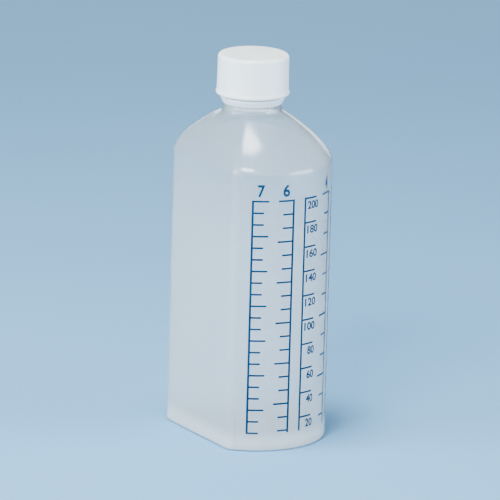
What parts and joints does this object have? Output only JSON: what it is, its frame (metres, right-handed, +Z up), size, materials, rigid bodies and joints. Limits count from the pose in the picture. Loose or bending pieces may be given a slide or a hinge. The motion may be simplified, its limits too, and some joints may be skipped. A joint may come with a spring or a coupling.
{
  "type": "graduated dose bottle",
  "caption": "Translucent plastic medicine bottle with a rounded graduated front, flat tapering sides and a screw cap with a sealing disc.",
  "frame": {"origin": "on the foot plane, on the neck's axis, which lies within half a millimetre of the middle of the footprint", "axes": "+Z up along the neck, -Y out of the rounded graduated front, +Y out of the narrow flat back"},
  "size_m": [0.0542, 0.0641, 0.1485],
  "materials": {
    "bottle_plastic": "natural translucent, softly milky, smooth blow-moulded",
    "cap_plastic": "opaque white, smooth satin",
    "liner_foam": "white closed-cell foam",
    "scale_ink": "screen-printed dark blue ink"
  },
  "bodies": {
    "bottle": {"bottle": "bottle_plastic", "seven_dose_scale": "scale_ink", "six_dose_scale": "scale_ink", "millilitre_scale": "scale_ink", "four_dose_scale": "scale_ink", "five_dose_scale": "scale_ink", "three_dose_scale": "scale_ink"},
    "cap_liner": {"cap_liner": "liner_foam"},
    "cap": {"screw_cap": "cap_plastic"}
  },
  "joints": [
    {"name": "cap_lift", "type": "slide", "parent": "bottle", "child": "cap_liner", "axis": [0, 0, 1], "range_m": [0, 0.0161]},
    {"name": "cap_turn", "type": "hinge", "parent": "cap_liner", "child": "cap", "pos_m": [0, 0, 0.14], "axis": [0, 0, 1], "range_deg": [0, 1800]}
  ],
  "couplings": [
    {"joint": "cap_lift", "follows": "cap_turn", "m_per_rad": 0.0005093}
  ]
}
